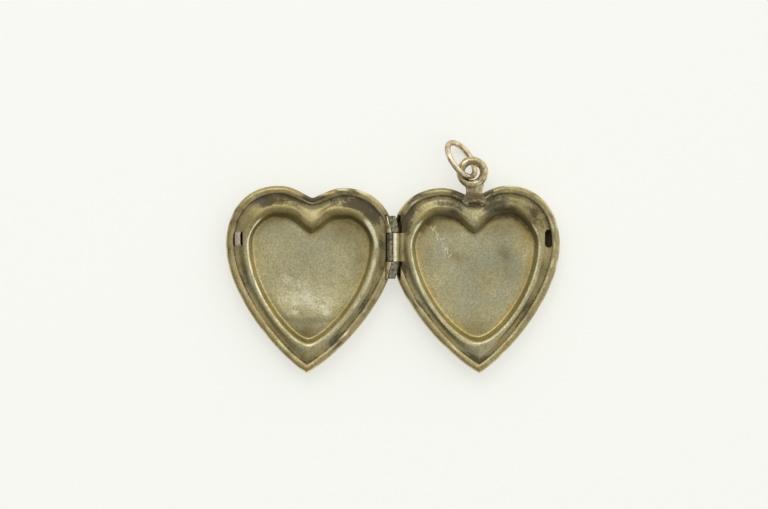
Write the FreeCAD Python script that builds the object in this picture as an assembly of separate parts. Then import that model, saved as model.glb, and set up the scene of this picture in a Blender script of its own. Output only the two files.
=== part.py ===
import FreeCAD, Part

# Heart-shaped hinged locket, lying open at 180 degrees with its inside facing up.
#
# +Y runs along the hinge pin towards the hearts' lobes, +X points across the back cover, and +Z
# points up, out of the recesses. Each piece is drawn about the middle of the hinge pin, on the
# plane where the two covers meet when the locket is shut. The finished pieces are then lifted by
# STAND, so that the origin is the middle of the base the open locket lies on. All lengths are in
# millimetres.

import math
import os
from collections import namedtuple

from FreeCAD import Vector

STAND = Vector(0, 1.155, 2.90)      # from the middle of the base to the middle of the hinge pin

# ---- Covers: thin domed shells with their edges rolled in ----
SHEET = 0.30             # shell sheet thickness
RIM_Z = -0.60            # height of the heart's widest line
CREST_Z = -0.03          # top of the rolled lip, half of the shut gap
LIP_CREST = 0.52         # inset of the lip's top from the rim
LIP_MOUTH = 1.02         # inset of the lip's inner edge
LIP_TURN = 0.17          # how far the lip turns down between its top and its inner edge
LIP_TURNS = (30, 60, 90)
LIP_UNDER_Z = -0.34      # underside of the lip, which holds the liner down
LIP_THROAT = 0.50        # inset where the lip's underside meets the wall
DOME_DEPTH = 2.30        # from the rim down to the flat at the dome's middle
DOME_REACH = 7.80        # from the rim in to that flat, measured at the heart's side
DOME_INSET = 1.70        # the dome follows the rim this far in, then fades to the flat
FLAT_SCALE = 0.30        # size of the flat against the rim heart

# ---- Liners: a flange, a raised ridge and a pressed heart-shaped recess ----
LINER_SHEET = 0.25
LINER_CLEAR = 0.02       # gap under the liner to the parts it lies over
LINER_EDGE = 0.55        # inset of the liner's edge, hidden under the lip
LINER_TOP_Z = -0.36
TROUGH_INSET = 1.50
TROUGH_Z = -0.42
TROUGH_FALL = 0.35       # the flange starts to dip this far before the trough
RIDGE_Z = -0.06
FOOT_Z = -1.05
FLOOR_Z = -1.25
FLOOR_SCALE = 0.86       # size of the recess's flat floor against the foot of its wall
CORNER_WAY = 0.20        # the wall's rounded foot ends this share of the way to that flat
CORNER_LIFT = 0.03       # height of the floor there
RISE_STEPS = ((0.45, 0.44), (0.80, 0.86))    # share of the way from trough to ridge, of its climb
WALL_STEPS = ((0.35, 0.10), (0.70, 0.44))    # share of the way down the recess wall, of its drop
# The liner's underside: how far it stands outside the top's outline, and how far below it.
RISE_UNDER = ((0.00, 0.25), (0.08, 0.25))
RIDGE_UNDER = (0.14, 0.27)
WALL_UNDER = ((0.20, 0.25), (0.25, 0.14))
FOOT_UNDER = (0.25, 0.12)
CORNER_UNDER = (0.15, 0.25)

# ---- Hinge ----
KNUCKLE_R = 0.82
PIN_R = 0.35
FIXED_BORE_R = 0.36      # outer knuckles hold the pin
RUNNING_BORE_R = 0.39    # middle knuckle turns on the pin
CURL_GAP = 0.01          # solder film between a knuckle and the curl that holds it
CURL_R = 0.97            # outside of the liner's curl over its knuckle
CURL_BEAD_R = 0.09
STRIP_X = (0.40, 1.70)   # the liner's strip from under the knuckle to its flange
CURL_MID_X = 0.10        # the middle curl ends just past the top of its knuckle
MIDDLE_HALF = 1.86       # half the middle knuckle's length
OUTER_START = 1.93
OUTER_END = 4.14
CHANNEL_R = 1.05         # clearance round the knuckles, cut from both covers
CHANNEL_HALF = 4.27
NOTCH_R = 1.25           # wider clearance in the back liner beside the outer knuckles
GUTTER_SHEET = 0.20      # wall that closes a shell behind the hinge channel
SPLIT = 0.03             # half the gap between the two covers at the hinge

# The outer knuckles' free sides are filed off so that they stay inside the shut outline.
FILED_INNER = (0.82, 2.20)
FILED_OUTER = (0.30, 4.14)
# The front liner's curls are trimmed along the heart's outline.
TRIM_INNER = (-0.48, 1.93)
TRIM_OUTER = (-1.00, 4.14)

# ---- Snap: a sprung tongue on the front liner and a slot in the back liner ----
SNAP_X = 20.45
SNAP_Y = 1.15
TONGUE_WIDE = 1.46
TONGUE_THICK = 0.36
TONGUE_NOSE = 0.40       # how far the hooked head stands out from the tongue
TONGUE_TOP_Z = 0.42
TONGUE_FOOT = 1.40       # how far its foot runs past the tongue at each end
TONGUE_FOOT_THICK = 0.25
TONGUE_HOOK = 0.55       # height of the hooked head
TONGUE_SLOPE = 0.25      # rise of the hook's underside
TONGUE_ROUND = 0.05
FRONT_SLOT = (1.30, 1.86)
BACK_SLOT = (1.06, 2.40)
BACK_SLOT_X = 20.55      # set outwards a little, to leave room for the hook
SLOT_REACH = 1.00        # how far a slot's cut runs past the flange's top, up and down

# ---- Bail: a cast eyelet with a stem and a foot, soldered over the back cover's cleft ----
EYELET = Vector(10.45, 9.87, -0.12)
EYELET_RING_R = 1.54
EYELET_WIRE_R = 0.56
EYELET_HOLE_R = 1.00     # the ring's hole, reamed just clear of the wire's inner line
STEM_X = 10.70
STEM_WIDE = 2.00
STEM_TOP_Z = 0.12
STEM_Y = (6.35, 8.67)    # from over the foot up into the eyelet
FOOT_WIDE = 3.30
FOOT_TOP_Z = -0.10
FOOT_Y = (5.30, 6.95)
FOOT_CORNER_LOW = 0.50   # the foot's corners are cut off this far up its sides
FOOT_CORNER_HIGH = 0.45
FOOT_SLOT = (1.55, 0.50, 0.16)
FOOT_SLOT_Y = 5.80
SEAT_CLEAR = 0.01        # solder film under the foot
LIP_NOTCH = (9.05, 13.15)
CLEFT_LOW_Y = 4.00       # the lip at the cleft lies wholly above this
SADDLE_X = -10.35        # dip in the front lip that clears the stem when shut
SADDLE_WIDE = 4.90
SADDLE_DEPTH = 0.20

# ---- Jump ring ----
RING_R = 2.60
RING_WIRE_R = 0.37
RING_CENTRE = Vector(9.00, 11.55, -0.278)
RING_HEADING = -54.9     # heading in plan of the ring's level diameter, degrees
RING_TILT = 60.0         # lean of the ring's plane from level, degrees

# A heart is three curves a side: cleft to lobe top, lobe top to the widest point, and the
# widest point to the tip. Its own frame has y up the heart, with y = 0 at its widest.
Heart = namedtuple(
    "Heart",
    "cleft_y cleft_pull cleft_lift lobe_x lobe_y lobe_in lobe_out"
    " side_x side_up side_down tip_y tip_pull tip_lift")

RIM = Heart(6.20, 0.58, 0.00, 4.24, 7.64, 2.00, 4.27, 11.18, 4.49, 6.71, -16.97, 4.03, 2.37)
RIDGE = {
    "back": Heart(2.50, 2.07, 0.97, 4.92, 4.89, 4.13, 1.23, 8.56, 2.02, 5.78, -13.25, 3.34, 0.12),
    "front": Heart(2.50, 2.35, 1.30, 4.56, 4.53, 4.30, 2.23, 8.48, 1.36, 6.29, -13.45, 2.57, 0.12),
}
FOOT = {
    "back": Heart(1.55, 1.97, 1.08, 4.77, 3.99, 3.23, 1.25, 7.94, 1.67, 5.73, -12.35, 2.72, 0.12),
    "front": Heart(1.55, 2.12, 0.80, 4.75, 3.61, 3.13, 0.94, 7.82, 2.23, 6.09, -12.60, 2.02, 0.12),
}
HEART_TILT = 1.9         # each heart leans its tip away from the hinge, degrees
HEART_X = 10.83
HEART_Y = 0.34

LOFT_DEGREE = 2          # keeps the lofts close to their outlines, with no overshoot
FAR = 40.0               # comfortably larger than the locket, for cutting boxes


# ---- Heart outlines ----

def half_curves(heart):
    """The right half of a heart as three cubic curves, each a list of four points."""
    cleft = Vector(0, heart.cleft_y, 0)
    lobe = Vector(heart.lobe_x, heart.lobe_y, 0)
    side = Vector(heart.side_x, 0, 0)
    tip = Vector(0, heart.tip_y, 0)
    return [
        [cleft, cleft + Vector(heart.cleft_pull, heart.cleft_lift, 0),
         lobe - Vector(heart.lobe_in, 0, 0), lobe],
        [lobe, lobe + Vector(heart.lobe_out, 0, 0), side + Vector(0, heart.side_up, 0), side],
        [side, side - Vector(0, heart.side_down, 0), tip + Vector(heart.tip_pull, heart.tip_lift, 0), tip],
    ]


def inward(direction):
    """Unit normal on the inner side of a curve that runs clockwise round the heart."""
    return Vector(direction.y, -direction.x, 0).normalize()


def inset_curve(curve, inset):
    """One cubic curve moved inwards: exact at both ends and at its middle."""
    start_dir = (curve[1] - curve[0]).normalize()
    end_dir = (curve[3] - curve[2]).normalize()
    middle = (curve[0] + curve[1] * 3 + curve[2] * 3 + curve[3]) * 0.125
    middle_dir = (curve[3] + curve[2] - curve[1] - curve[0]).normalize()

    def moved_end(point, direction):
        """An end on the heart's axis slides along that axis, so that both halves still meet."""
        if abs(point.x) < 1e-9:
            return point - Vector(0, inset / direction.x, 0)
        return point + inward(direction) * inset

    start = moved_end(curve[0], start_dir)
    end = moved_end(curve[3], end_dir)
    cross = start_dir.x * end_dir.y - start_dir.y * end_dir.x
    if abs(cross) < 1e-6:
        # Between level ends, as from cleft to lobe, the cleft's bend opens and the lobe's closes.
        change = inset * (curve[3].y - curve[0].y) / 1.5
        a = math.sqrt((curve[1] - curve[0]).Length ** 2 + change)
        b = math.sqrt((curve[3] - curve[2]).Length ** 2 - change)
    else:
        # Handle lengths a, b solve: (start + end) / 2 + 3/8 (a start_dir - b end_dir) = target.
        target = middle + inward(middle_dir) * inset
        gap = (target - (start + end) * 0.5) * (8.0 / 3.0)
        a = (gap.x * end_dir.y - gap.y * end_dir.x) / cross
        b = (gap.x * start_dir.y - gap.y * start_dir.x) / cross
    return [start, start + start_dir * a, end - end_dir * b, end]


def inset_half(heart, inset):
    """A half heart moved inwards by the same distance all round."""
    curves = half_curves(heart)
    if inset == 0:
        return curves
    return [inset_curve(curve, inset) for curve in curves]


def blend_half(first, second, share):
    """A half heart part of the way from one half heart to another."""
    return [[p * (1 - share) + q * share for p, q in zip(a, b)] for a, b in zip(first, second)]


def scaled_half(half, scale):
    """A half heart shrunk towards the heart's middle."""
    middle = Vector(0, (RIM.cleft_y + RIM.tip_y) / 2, 0)
    return [[(p - Vector(0, middle.y, 0)) * scale + middle for p in curve] for curve in half]


def heart_wire(half, z):
    """The closed outline at height z, standing where the back cover's heart stands."""
    turn = math.radians(HEART_TILT)

    def placed(point, side):
        x = point.x * side
        return Vector(x * math.cos(turn) - point.y * math.sin(turn) + HEART_X,
                      x * math.sin(turn) + point.y * math.cos(turn) + HEART_Y, z)

    edges = []
    for side, curves in ((1, half), (-1, [curve[::-1] for curve in half[::-1]])):
        for curve in curves:
            bezier = Part.BezierCurve()
            bezier.setPoles([placed(point, side) for point in curve])
            edges.append(bezier.toShape())
    return Part.Wire(edges)


def skin(runs):
    """A solid whose skin is lofted through each run of wires, with flat faces at both ends."""
    faces = [Part.Face(runs[0][0]), Part.Face(runs[-1][-1])]
    for run in runs:
        faces += Part.makeLoft(run, False, len(run) == 2, False, LOFT_DEGREE).Faces
    shell = Part.Compound(faces)
    shell.sewShape()
    solid = Part.Solid(shell.Shells[0] if shell.Shells else Part.Shell(shell.Faces))
    if solid.Volume < 0:
        solid.reverse()
    return solid


# ---- Small building blocks ----

def box(x0, x1, y0, y1, z0, z1):
    return Part.makeBox(x1 - x0, y1 - y0, z1 - z0, Vector(x0, y0, z0))


def along_hinge(radius, y0, y1):
    """A round bar on the hinge axis."""
    return Part.makeCylinder(radius, y1 - y0, Vector(0, y0, 0), Vector(0, 1, 0))


def prism(points, z0, z1):
    """An upright prism over a polygon in plan."""
    outline = [Vector(x, y, z0) for x, y in points]
    return Part.Face(Part.makePolygon(outline + outline[:1])).extrude(Vector(0, 0, z1 - z0))


def mirrored(shape):
    """The same shape on the front cover's side of the hinge."""
    return shape.mirror(Vector(0, 0, 0), Vector(1, 0, 0))


def side_of_line(inner, outer, sign, flip):
    """Everything on one side of a slanting upright plane, for y above zero or, flipped, below."""
    (x0, y0), (x1, y1) = inner, outer
    slope = (x1 - x0) / (y1 - y0)
    low_y, high_y = y0 - 2, y1 + 2
    points = [(x0 - 2 * slope, low_y), (x1 + 2 * slope, high_y), (sign * FAR, high_y), (sign * FAR, low_y)]
    return prism([(x, -y) if flip else (x, y) for x, y in points], -FAR, FAR)


# ---- Covers ----

def dome_run(sheet, steps=8):
    """Wires from the rim to the dome's flat, on an elliptic arc; sheet > 0 gives the inside."""
    flat = scaled_half(half_curves(RIM), FLAT_SCALE)
    wires = []
    for step in range(steps + 1):
        angle = math.radians(90.0 * step / steps)
        reach = sheet + (DOME_REACH - sheet) * (1 - math.cos(angle))
        z = RIM_Z - (DOME_DEPTH - sheet) * math.sin(angle)
        half = inset_half(RIM, min(reach, DOME_INSET))
        if reach > DOME_INSET:
            half = blend_half(half, flat, (reach - DOME_INSET) / (DOME_REACH - DOME_INSET))
        wires.append(heart_wire(half, z))
    return wires


def lip_run(steps=4):
    """Wires from the rim up and over the rolled lip to its inner edge."""
    wires = []
    for step in range(steps + 1):
        angle = math.radians(90.0 * step / steps)
        inset = LIP_CREST * (1 - math.cos(angle))
        wires.append(heart_wire(inset_half(RIM, inset), RIM_Z + (CREST_Z - RIM_Z) * math.sin(angle)))
    for turn in LIP_TURNS:
        angle = math.radians(turn)
        inset = LIP_CREST + (LIP_MOUTH - LIP_CREST) * math.sin(angle)
        wires.append(heart_wire(inset_half(RIM, inset), CREST_Z - LIP_TURN * (1 - math.cos(angle))))
    return wires


def cover_body():
    """The hollow shell, and the same dome filled in."""
    outside = dome_run(0.0)
    over = lip_run()
    edge_low = heart_wire(inset_half(RIM, LIP_MOUTH), LIP_UNDER_Z)
    throat = heart_wire(inset_half(RIM, LIP_THROAT), LIP_UNDER_Z)
    inside = dome_run(SHEET)
    under_lip = [[over[-1], edge_low], [edge_low, throat], [throat, inside[0]]]
    hollow = skin([outside[::-1], over] + under_lip + [inside])
    filled = skin([outside[::-1], over])
    return hollow, filled


def hinge_gutter(filled):
    """The quarter-round wall behind the hinge channel."""
    ring = along_hinge(CHANNEL_R + GUTTER_SHEET, -CHANNEL_HALF, CHANNEL_HALF)
    below_liner = TROUGH_Z - LINER_SHEET - LINER_CLEAR
    ring = ring.common(box(SPLIT, FAR, -FAR, FAR, -FAR, below_liner))
    return ring.common(filled)


def cover_shell():
    """One cover as the back cover stands, opened up for the hinge."""
    hollow, filled = cover_body()
    shell = hollow.fuse(hinge_gutter(filled))
    shell = shell.cut(along_hinge(CHANNEL_R, -CHANNEL_HALF, CHANNEL_HALF))
    return shell.common(box(SPLIT, FAR, -FAR, FAR, -FAR, FAR))


def back_cover_shell():
    notch = box(LIP_NOTCH[0], LIP_NOTCH[1], CLEFT_LOW_Y, FAR, LINER_TOP_Z + SEAT_CLEAR, FAR)
    return cover_shell().cut(notch)


def front_cover_shell():
    radius = (SADDLE_WIDE ** 2 / 4 + SADDLE_DEPTH ** 2) / (2 * SADDLE_DEPTH)
    start = Vector(SADDLE_X, CLEFT_LOW_Y, CREST_Z - SADDLE_DEPTH + radius)
    saddle = Part.makeCylinder(radius, FAR, start, Vector(0, 1, 0))
    return mirrored(cover_shell()).cut(saddle)


# ---- Liners ----

def liner_plate(side):
    """One stamped liner as the back cover's stands, before the hinge and the slots are cut."""
    ridge = RIDGE[side]
    foot = FOOT[side]
    trough = inset_half(RIM, TROUGH_INSET)
    floor = scaled_half(half_curves(foot), FLOOR_SCALE)

    def rise(way, grow):
        """Part of the way from the trough to the ridge, grown outwards for the underside."""
        return blend_half(trough, inset_half(ridge, -grow), way)

    def fall(way, grow):
        """Part of the way down the recess wall."""
        return blend_half(inset_half(ridge, -grow), inset_half(foot, -grow), way)

    def level(start, end, share):
        return start + (end - start) * share

    edge_top = heart_wire(inset_half(RIM, LINER_EDGE), LINER_TOP_Z)
    edge_low = heart_wire(inset_half(RIM, LINER_EDGE), LINER_TOP_Z - LINER_SHEET)
    flange_top = heart_wire(inset_half(RIM, TROUGH_INSET - TROUGH_FALL), LINER_TOP_Z)
    flange_low = heart_wire(inset_half(RIM, TROUGH_INSET - TROUGH_FALL), LINER_TOP_Z - LINER_SHEET)

    top = [flange_top, heart_wire(trough, TROUGH_Z)]
    for way, climb in RISE_STEPS:
        top.append(heart_wire(rise(way, 0), level(TROUGH_Z, RIDGE_Z, climb)))
    top.append(heart_wire(half_curves(ridge), RIDGE_Z))
    for way, drop in WALL_STEPS:
        top.append(heart_wire(fall(way, 0), level(RIDGE_Z, FOOT_Z, drop)))
    top.append(heart_wire(half_curves(foot), FOOT_Z))
    top.append(heart_wire(blend_half(half_curves(foot), floor, CORNER_WAY), FLOOR_Z + CORNER_LIFT))
    top.append(heart_wire(floor, FLOOR_Z))

    low = [flange_low, heart_wire(trough, TROUGH_Z - LINER_SHEET)]
    for (way, climb), (grow, below) in zip(RISE_STEPS, RISE_UNDER):
        low.append(heart_wire(rise(way, grow), level(TROUGH_Z, RIDGE_Z, climb) - below))
    grow, below = RIDGE_UNDER
    low.append(heart_wire(inset_half(ridge, -grow), RIDGE_Z - below))
    for (way, drop), (grow, below) in zip(WALL_STEPS, WALL_UNDER):
        low.append(heart_wire(fall(way, grow), level(RIDGE_Z, FOOT_Z, drop) - below))
    grow, below = FOOT_UNDER
    low.append(heart_wire(inset_half(foot, -grow), FOOT_Z - below))
    grow, below = CORNER_UNDER
    corner = blend_half(inset_half(foot, -grow), floor, CORNER_WAY)
    low.append(heart_wire(corner, FLOOR_Z + CORNER_LIFT - below))
    low.append(heart_wire(floor, FLOOR_Z - LINER_SHEET))
    return skin([top[::-1], [flange_top, edge_top], [edge_top, edge_low], [edge_low, flange_low], low])


def hinge_curl(y0, y1):
    """The liner's strip that runs to the hinge and curls over a knuckle."""
    strip = box(STRIP_X[0], STRIP_X[1], y0, y1, LINER_TOP_Z - LINER_SHEET, LINER_TOP_Z)
    ring = along_hinge(CURL_R, y0, y1).common(box(CURL_MID_X, FAR, y0, y1, LINER_TOP_Z - LINER_SHEET, FAR))
    return strip.fuse(ring).cut(along_hinge(KNUCKLE_R + CURL_GAP, y0 - 1, y1 + 1))


def curl_bead(start, end):
    """The rounded edge of a curl, lying on the knuckle between two places in plan."""
    radius = (KNUCKLE_R + CURL_R) / 2

    def on_knuckle(x, y):
        return Vector(x, y, math.sqrt(radius ** 2 - x ** 2) if abs(x) < radius else 0)

    a = on_knuckle(*start)
    b = on_knuckle(*end)
    return Part.makeCylinder(CURL_BEAD_R, (b - a).Length, a, b - a)


def flange_slot(size, centre_x, rounded):
    """A slot through the flange at the snap, square or with rounded ends."""
    wide, long = size
    half = wide / 2
    straight = (long - wide) / 2 if rounded else long / 2
    low, high = LINER_TOP_Z - SLOT_REACH, LINER_TOP_Z + SLOT_REACH
    slot = box(centre_x - half, centre_x + half, SNAP_Y - straight, SNAP_Y + straight, low, high)
    if rounded:
        for end in (-straight, straight):
            slot = slot.fuse(Part.makeCylinder(half, high - low, Vector(centre_x, SNAP_Y + end, low)))
    return slot


def back_liner_plate():
    plate = liner_plate("back").cut(along_hinge(CHANNEL_R, -CHANNEL_HALF, CHANNEL_HALF))
    for y0, y1 in ((-CHANNEL_HALF, -MIDDLE_HALF), (MIDDLE_HALF, CHANNEL_HALF)):
        plate = plate.cut(along_hinge(NOTCH_R, y0, y1))
    plate = plate.common(box(SPLIT, FAR, -FAR, FAR, -FAR, FAR))
    plate = plate.fuse(hinge_curl(-MIDDLE_HALF, MIDDLE_HALF))
    bead = curl_bead((CURL_MID_X, -MIDDLE_HALF), (CURL_MID_X, MIDDLE_HALF))
    bead = bead.cut(along_hinge(KNUCKLE_R + CURL_GAP, -FAR, FAR))
    plate = plate.fuse(bead)
    return plate.cut(flange_slot(BACK_SLOT, BACK_SLOT_X, True))


def front_liner_plate():
    plate = mirrored(liner_plate("front").cut(along_hinge(CHANNEL_R, -CHANNEL_HALF, CHANNEL_HALF)))
    plate = plate.common(box(-FAR, -SPLIT, -FAR, FAR, -FAR, FAR))
    for flip in (False, True):
        y0, y1 = (-OUTER_END, -OUTER_START) if flip else (OUTER_START, OUTER_END)
        curl = mirrored(hinge_curl(y0, y1)).common(side_of_line(TRIM_INNER, TRIM_OUTER, -1, flip))
        plate = plate.fuse(curl)
    return plate.cut(flange_slot(FRONT_SLOT, -SNAP_X, False))


# ---- Hinge ----

def back_hinge_knuckle():
    tube = along_hinge(KNUCKLE_R, -MIDDLE_HALF, MIDDLE_HALF)
    return tube.cut(along_hinge(RUNNING_BORE_R, -FAR, FAR))


def front_hinge_knuckle(flip):
    y0, y1 = (-OUTER_END, -OUTER_START) if flip else (OUTER_START, OUTER_END)
    tube = along_hinge(KNUCKLE_R, y0, y1).cut(along_hinge(FIXED_BORE_R, -FAR, FAR))
    return tube.cut(side_of_line(FILED_INNER, FILED_OUTER, 1, flip))


def hinge_pin():
    pin = along_hinge(PIN_R, -OUTER_END, OUTER_END)
    for flip in (False, True):
        pin = pin.cut(side_of_line(FILED_INNER, FILED_OUTER, 1, flip))
    return pin


# ---- Snap ----

def snap_tongue():
    """A sprung strip: a foot under the front flange, an upright, and a rounded hooked head."""
    foot_top = TROUGH_Z - LINER_SHEET - LINER_CLEAR
    foot_low = foot_top - TONGUE_FOOT_THICK
    back = -SNAP_X + (TONGUE_THICK + TONGUE_NOSE) / 2
    front = back - TONGUE_THICK
    nose = front - TONGUE_NOSE
    neck = TONGUE_TOP_Z - TONGUE_HOOK
    points = [
        (back, foot_low), (front, foot_low), (front, neck), (nose, neck + TONGUE_SLOPE),
        (nose + 2 * TONGUE_ROUND, TONGUE_TOP_Z - 1.6 * TONGUE_ROUND), (front + TONGUE_ROUND, TONGUE_TOP_Z),
        (back - TONGUE_ROUND, TONGUE_TOP_Z), (back, TONGUE_TOP_Z - TONGUE_ROUND),
    ]
    y0 = SNAP_Y - TONGUE_WIDE / 2
    outline = [Vector(x, y0, z) for x, z in points]
    upright = Part.Face(Part.makePolygon(outline + outline[:1])).extrude(Vector(0, TONGUE_WIDE, 0))
    foot = box(nose, back, y0 - TONGUE_FOOT, y0 + TONGUE_WIDE + TONGUE_FOOT, foot_low, foot_top)
    return upright.fuse(foot).removeSplitter()


# ---- Bail ----

def bail_eyelet():
    ring = Part.makeTorus(EYELET_RING_R, EYELET_WIRE_R, EYELET)
    hole = Part.makeCylinder(EYELET_HOLE_R, 2 * EYELET_RING_R, EYELET - Vector(0, 0, EYELET_RING_R))
    seat_z = LINER_TOP_Z + SEAT_CLEAR
    half = STEM_WIDE / 2
    stem = box(STEM_X - half, STEM_X + half, STEM_Y[0], STEM_Y[1], seat_z, STEM_TOP_Z)
    low, high = FOOT_Y
    wide = FOOT_WIDE / 2
    outline = [(half, high), (wide, high - FOOT_CORNER_HIGH), (wide, low + FOOT_CORNER_LOW), (half, low)]
    right = [(STEM_X + x, y) for x, y in outline]
    left = [(STEM_X - x, y) for x, y in outline[::-1]]
    foot = prism(right + left, seat_z, FOOT_TOP_Z)
    long, wide, deep = FOOT_SLOT
    slot = box(STEM_X - long / 2, STEM_X + long / 2, FOOT_SLOT_Y - wide / 2, FOOT_SLOT_Y + wide / 2,
               FOOT_TOP_Z - deep, FOOT_TOP_Z + 1)
    return ring.fuse([stem, foot]).removeSplitter().cut(slot).cut(hole)


def jump_ring():
    """Round wire linked through the eyelet and leaning on the surface below."""
    heading = math.radians(RING_HEADING)
    tilt = math.radians(RING_TILT)
    across = Vector(-math.sin(heading), math.cos(heading), 0)
    normal = across * math.sin(tilt) + Vector(0, 0, math.cos(tilt))
    return Part.makeTorus(RING_R, RING_WIRE_R, RING_CENTRE, normal)


PIECES = {
    "front_cover_shell": front_cover_shell,
    "front_liner_plate": front_liner_plate,
    "back_cover_shell": back_cover_shell,
    "back_liner_plate": back_liner_plate,
    "front_hinge_knuckle_upper": lambda: front_hinge_knuckle(False),
    "front_hinge_knuckle_lower": lambda: front_hinge_knuckle(True),
    "back_hinge_knuckle": back_hinge_knuckle,
    "hinge_pin": hinge_pin,
    "snap_tongue": snap_tongue,
    "bail_eyelet": bail_eyelet,
    "jump_ring": jump_ring,
}

os.makedirs("parts", exist_ok=True)
for name, build in PIECES.items():
    shape = build().translated(STAND)
    print(name, "solids", len(shape.Solids), "valid", shape.isValid(), "volume", round(shape.Volume, 2))
    shape.exportStep(os.path.join("parts", name + ".step"))
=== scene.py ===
import math

import bmesh
import bpy
import numpy as np
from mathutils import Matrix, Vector
from mathutils.kdtree import KDTree


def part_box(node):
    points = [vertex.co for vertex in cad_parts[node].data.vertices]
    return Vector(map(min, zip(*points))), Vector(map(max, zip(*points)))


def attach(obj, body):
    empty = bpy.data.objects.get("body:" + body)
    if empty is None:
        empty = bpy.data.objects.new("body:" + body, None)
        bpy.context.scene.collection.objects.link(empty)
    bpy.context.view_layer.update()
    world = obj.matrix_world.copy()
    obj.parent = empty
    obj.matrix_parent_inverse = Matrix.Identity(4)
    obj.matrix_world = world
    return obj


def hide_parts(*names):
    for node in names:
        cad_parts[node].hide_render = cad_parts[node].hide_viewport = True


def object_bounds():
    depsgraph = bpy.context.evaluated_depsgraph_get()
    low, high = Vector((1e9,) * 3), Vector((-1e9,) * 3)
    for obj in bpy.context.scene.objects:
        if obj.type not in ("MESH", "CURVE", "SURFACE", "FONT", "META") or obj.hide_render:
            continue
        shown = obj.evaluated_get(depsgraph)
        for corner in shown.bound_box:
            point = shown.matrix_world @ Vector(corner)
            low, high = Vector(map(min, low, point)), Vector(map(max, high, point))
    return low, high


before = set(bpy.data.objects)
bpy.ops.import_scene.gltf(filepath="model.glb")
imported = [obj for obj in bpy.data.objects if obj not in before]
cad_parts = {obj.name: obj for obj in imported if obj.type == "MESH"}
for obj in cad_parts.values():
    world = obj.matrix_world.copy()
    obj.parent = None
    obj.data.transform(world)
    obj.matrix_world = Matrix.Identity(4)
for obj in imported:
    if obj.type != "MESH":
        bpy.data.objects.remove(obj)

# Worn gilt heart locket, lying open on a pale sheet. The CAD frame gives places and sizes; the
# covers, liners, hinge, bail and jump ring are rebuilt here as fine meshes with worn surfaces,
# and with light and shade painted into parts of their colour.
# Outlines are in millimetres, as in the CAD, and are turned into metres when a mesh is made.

MM = 0.001
CAD_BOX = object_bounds()

# ---- The hearts: outlines and profile sizes that follow the CAD model's ----
# Cleft and tip are height, pull and lift. Lobe is place, and the pull on both sides of its top. Side is
# distance out, and the pull above and below it.
RIM = dict(cleft=(6.20, 0.58, 0.00), lobe=(4.24, 7.64, 2.00, 4.27), side=(11.18, 4.49, 6.71),
           tip=(-16.97, 4.03, 2.37))
RIDGE = {
    "back": dict(cleft=(2.50, 2.07, 0.97), lobe=(4.92, 4.89, 4.13, 1.23), side=(8.56, 2.02, 5.78),
                 tip=(-13.25, 3.34, 0.12)),
    "front": dict(cleft=(2.50, 2.35, 1.30), lobe=(4.56, 4.53, 4.30, 2.23), side=(8.48, 1.36, 6.29),
                  tip=(-13.45, 2.57, 0.12)),
}
FOOT = {
    "back": dict(cleft=(1.55, 1.97, 1.08), lobe=(4.77, 3.99, 3.23, 1.25), side=(7.94, 1.67, 5.73),
                 tip=(-12.35, 2.72, 0.12)),
    "front": dict(cleft=(1.55, 2.12, 0.80), lobe=(4.75, 3.61, 3.13, 0.94), side=(7.82, 2.23, 6.09),
                  tip=(-12.60, 2.02, 0.12)),
}
HEART_TILT = math.radians(1.9)
HEART_AT = (10.83, 0.34)
SIDE_SIGN = {"back": 1, "front": -1}
SEED = {"back": 0, "front": 1}  # shifts the random fields, so that the two leaves differ

SHEET = 0.30
RIM_Z = -0.60
CREST_Z = -0.03
LIP_CREST = 0.52
LIP_MOUTH = 1.02
LIP_TURN = 0.17
LIP_EDGE_Z = -0.27
LIP_UNDER_Z = -0.34
LIP_THROAT = 0.50
DOME_DEPTH = 2.30
DOME_REACH = 7.80
DOME_INSET = 1.70
FLAT_SCALE = 0.30
LINER_SHEET = 0.25
LINER_EDGE = 0.55
LINER_TOP_Z = -0.36
TROUGH_INSET = 1.50
TROUGH_Z = -0.42
RIDGE_Z = -0.06
FOOT_Z = -1.06
FLOOR_Z = -1.25
FLOOR_SCALE = 0.86
FLOOR_CENTRE_Y = -3.2
LIP_NOTCH = (9.05, 13.15)       # cut out of the back cover's lip for the bail
SADDLE_X = -10.35               # dip in the front lip that clears the bail when shut
SADDLE_HALF = 2.45
SNAP_X = 20.45
SNAP_Y = 1.15
BACK_SLOT = (1.06, 2.40)
BACK_SLOT_X = 20.55
FRONT_SLOT = (1.30, 1.86)
HALF_STEPS = 140                # points along each half of a heart

# ---- Sizes and places read from the CAD frame ----
HINGE_AT = sum(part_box("hinge_pin"), Vector()) / 2
KNUCKLE_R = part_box("back_hinge_knuckle")[1].x / MM
MIDDLE_HALF = (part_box("back_hinge_knuckle")[1].y - HINGE_AT.y) / MM
OUTER_START = (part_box("front_hinge_knuckle_upper")[0].y - HINGE_AT.y) / MM
OUTER_END = (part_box("front_hinge_knuckle_upper")[1].y - HINGE_AT.y) / MM
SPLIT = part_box("back_cover_shell")[0].x / MM

# ---- Hinge, bail and jump ring ----
CHANNEL_R = 1.05                # clearance round the knuckles, cut from both leaves
CHANNEL_HALF = 4.27
NOTCH_R = 1.25                  # wider clearance in the back liner beside the outer knuckles
GUTTER_SHEET = 0.20
GUTTER_SHORT = 0.90             # the channel's wall stops this far short of the channel's ends
CURL_R = 0.97
CURL_INNER_R = KNUCKLE_R + 0.01
CURL_MID_X = 0.10               # edge of the middle curl
BORE_R = 0.37
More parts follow.
